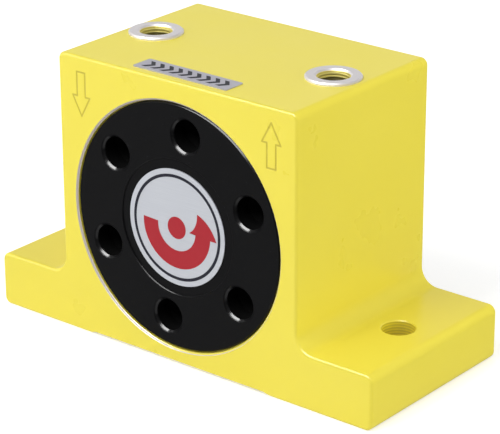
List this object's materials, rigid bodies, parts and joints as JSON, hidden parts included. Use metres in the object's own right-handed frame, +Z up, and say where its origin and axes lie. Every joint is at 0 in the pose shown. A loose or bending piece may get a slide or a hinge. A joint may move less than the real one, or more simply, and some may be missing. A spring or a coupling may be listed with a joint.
{
  "type": "pneumatic turbine vibrator",
  "caption": "Compressed-air turbine vibrator: footed block housing with threaded round covers, air ports on top and an unbalanced bucket wheel spinning on ball bearings inside.",
  "frame": {"origin": "middle of the footprint, on the plane of the foot pads", "axes": "+X from foot to foot, towards the air outlet's side; +Z up, from the feet to the air ports; -Y out of the labelled front cover, so the rotor turns about Y"},
  "size_m": [0.128, 0.056, 0.0803],
  "materials": {
    "painted_housing": "yellow powder coat over an aluminium block",
    "black_anodised": "black anodised, fine satin turned face",
    "seal_rubber": "black nitrile cord ring",
    "turbine_aluminium": "milled, bare",
    "shaft_steel": "ground steel",
    "spring_steel": "phosphated spring steel",
    "slug_steel": "turned steel",
    "bearing_steel": "ground and polished bearing steel",
    "ball_steel": "polished bearing steel",
    "cage_polymer": "brown reinforced polymer",
    "shield_steel": "pressed sheet steel",
    "bush_metal": "nickel-plated brass, thread bright",
    "label_foil": "silver grey printed foil"
  },
  "bodies": {
    "stator": {"housing": "painted_housing", "front_cover": "black_anodised", "rear_cover": "black_anodised", "front_cover_seal": "seal_rubber", "rear_cover_seal": "seal_rubber", "front_bearing_outer_ring": "bearing_steel", "rear_bearing_outer_ring": "bearing_steel", "front_bearing_cover_shield": "shield_steel", "front_bearing_wheel_shield": "shield_steel", "rear_bearing_cover_shield": "shield_steel", "rear_bearing_wheel_shield": "shield_steel", "rear_preload_spring": "spring_steel", "inlet_bush": "bush_metal", "outlet_bush": "bush_metal", "front_label": "label_foil", "top_label": "label_foil"},
    "rotor": {"turbine_wheel": "turbine_aluminium", "rotor_shaft": "shaft_steel", "wheel_retaining_ring": "spring_steel", "unbalance_slug_1": "slug_steel", "unbalance_slug_2": "slug_steel", "unbalance_slug_3": "slug_steel", "front_bearing_inner_ring": "bearing_steel", "rear_bearing_inner_ring": "bearing_steel"},
    "front_ball_set": {"front_bearing_balls": "ball_steel", "front_bearing_cage": "cage_polymer"},
    "rear_ball_set": {"rear_bearing_balls": "ball_steel", "rear_bearing_cage": "cage_polymer"}
  },
  "joints": [
    {"name": "rotor_spin", "type": "hinge", "parent": "stator", "child": "rotor", "pos_m": [0, 0, 0.039], "axis": [0, -1, 0], "continuous": true},
    {"name": "front_ball_set_spin", "type": "hinge", "parent": "stator", "child": "front_ball_set", "pos_m": [0, -0.018, 0.039], "axis": [0, -1, 0], "continuous": true},
    {"name": "rear_ball_set_spin", "type": "hinge", "parent": "stator", "child": "rear_ball_set", "pos_m": [0, 0.018, 0.039], "axis": [0, -1, 0], "continuous": true}
  ],
  "couplings": [
    {"joint": "front_ball_set_spin", "follows": "rotor_spin", "ratio": 0.3647},
    {"joint": "rear_ball_set_spin", "follows": "rotor_spin", "ratio": 0.3647}
  ]
}
